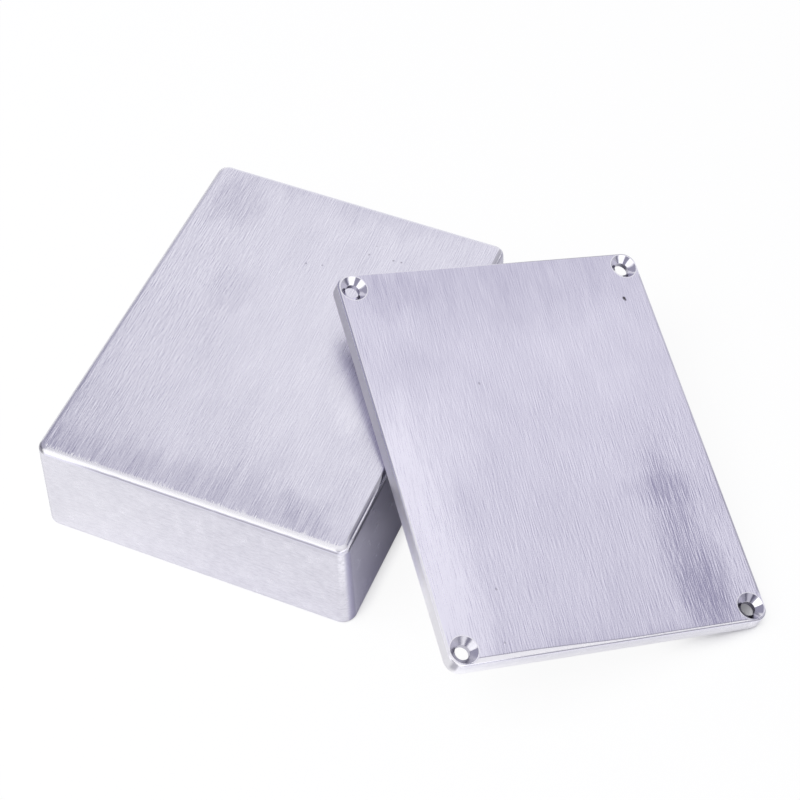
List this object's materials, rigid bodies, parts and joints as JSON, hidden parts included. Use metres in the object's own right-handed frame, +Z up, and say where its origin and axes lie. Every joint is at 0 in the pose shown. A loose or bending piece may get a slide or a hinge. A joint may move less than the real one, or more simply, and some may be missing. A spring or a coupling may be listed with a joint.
{
  "type": "guitar pedal enclosure",
  "caption": "Bare die-cast aluminium pedal enclosure: a drafted box standing on its open rim, with screw posts inside, and its countersunk tongue-fit lid leaning on one top edge.",
  "frame": {"origin": "middle of the box's open rim, which is also the plane that the box stands on", "axes": "+X across the box towards the lid, +Y along the box, +Z up through the closed face"},
  "size_m": [0.1974, 0.1486, 0.0495],
  "materials": {
    "box_metal": "bare casting, hand-sanded with the grain along its length",
    "lid_metal": "bare casting, hand-sanded with the grain along its length"
  },
  "bodies": {
    "root": {"enclosure_box": "box_metal", "enclosure_lid": "lid_metal"}
  },
  "joints": []
}
